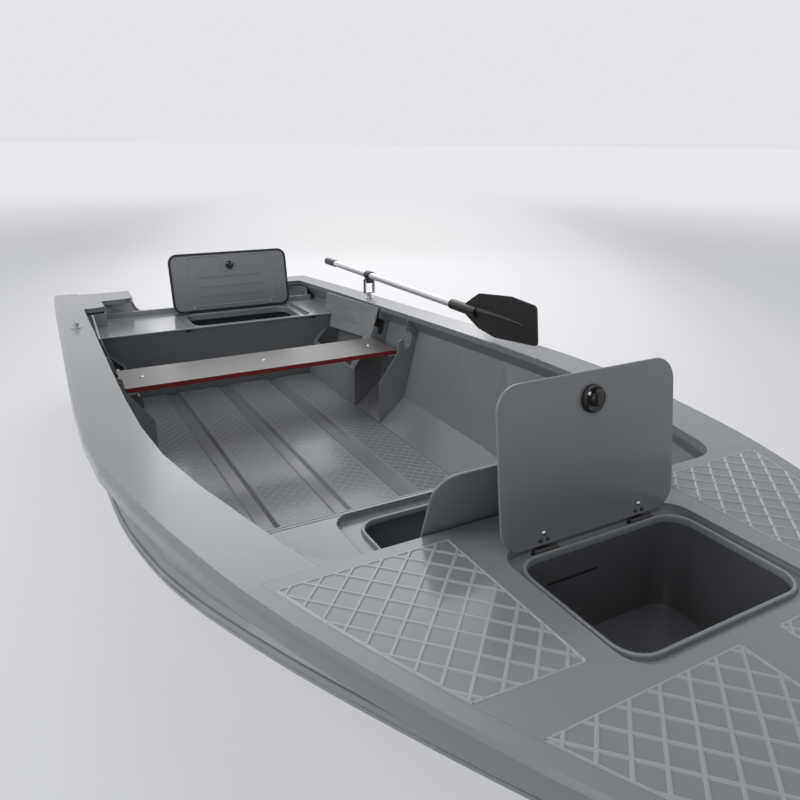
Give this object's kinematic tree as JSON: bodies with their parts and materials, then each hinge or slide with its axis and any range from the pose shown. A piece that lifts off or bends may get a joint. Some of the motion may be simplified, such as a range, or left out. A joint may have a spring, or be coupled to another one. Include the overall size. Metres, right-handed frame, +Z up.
{
  "type": "plastic rowing boat",
  "caption": "Open boat of thermoformed plastic with foredeck hatch, lidded seat and stern lockers, motor well, lift-out thwart and an oar in its oarlock, lids shown open.",
  "frame": {"origin": "middle of the bounding box in plan, on the ground under the runners", "axes": "+X towards the bow, +Y to port, +Z up"},
  "size_m": [3.99, 1.5122, 0.8997],
  "materials": {
    "hull_grey": "glossy thermoformed sheet",
    "deck_grey": "glossy thermoformed sheet",
    "liner_grey": "satin gloss thermoformed sheet",
    "black_plastic": "moulded",
    "seal_rubber": "foam strip",
    "thwart_board": "film-faced plywood",
    "steel": "satin",
    "oar_aluminium": "anodised"
  },
  "bodies": {
    "boat": {"hull_shell": "hull_grey", "runners": "hull_grey", "transom": "hull_grey", "motor_pad": "black_plastic", "gunwale": "deck_grey", "foredeck": "deck_grey", "bow_bin": "liner_grey", "fore_bulkhead": "liner_grey", "cockpit_liner": "liner_grey", "stern_bulkhead": "liner_grey", "stern_deck": "deck_grey", "motor_well": "liner_grey", "stern_hatch": "deck_grey", "seat_locker": "deck_grey", "frame_port_fore": "liner_grey", "frame_port_aft": "liner_grey", "frame_stbd_fore": "liner_grey", "frame_stbd_aft": "liner_grey", "thwart_ledges": "liner_grey", "side_pockets": "liner_grey", "side_bins": "liner_grey", "thwart": "thwart_board", "oarlock_sockets": "steel", "bow_eye": "steel", "deck_hinges": "black_plastic"},
    "bow_lid": {"bow_lid": "deck_grey", "bow_latch": "black_plastic", "bow_lid_leaves": "black_plastic"},
    "seat_lid": {"seat_lid": "deck_grey", "seat_latch": "black_plastic", "seat_lid_leaves": "black_plastic"},
    "stern_lid": {"stern_lid": "deck_grey", "stern_seal": "seal_rubber", "stern_latch": "black_plastic", "stern_lid_leaves": "black_plastic"},
    "oarlock": {"oarlock_fork": "steel"},
    "oar": {"oar_collar": "black_plastic", "oar_shaft": "oar_aluminium", "oar_grip": "black_plastic", "oar_blade": "black_plastic"}
  },
  "joints": [
    {"name": "bow_lid_hinge", "type": "hinge", "parent": "boat", "child": "bow_lid", "pos_m": [1.12, 0, 0.608], "axis": [0, 1, 0], "range_deg": [0, 99]},
    {"name": "seat_lid_hinge", "type": "hinge", "parent": "boat", "child": "seat_lid", "pos_m": [0.934, 0, 0.468], "axis": [0, -1, 0], "range_deg": [0, 108]},
    {"name": "stern_lid_hinge", "type": "hinge", "parent": "boat", "child": "stern_lid", "pos_m": [-1.634, 0.141, 0.433], "axis": [0, 1, 0], "range_deg": [0, 99]},
    {"name": "oarlock_swivel", "type": "hinge", "parent": "boat", "child": "oarlock", "pos_m": [-1.092, 0.652, 0.56491], "axis": [0, 0, 1], "range_deg": [0, 150]},
    {"name": "oar_tilt", "type": "hinge", "parent": "oarlock", "child": "oar", "pos_m": [-1.092, 0.652, 0.63591], "axis": [0, -1, 0], "range_deg": [0, 8]}
  ]
}
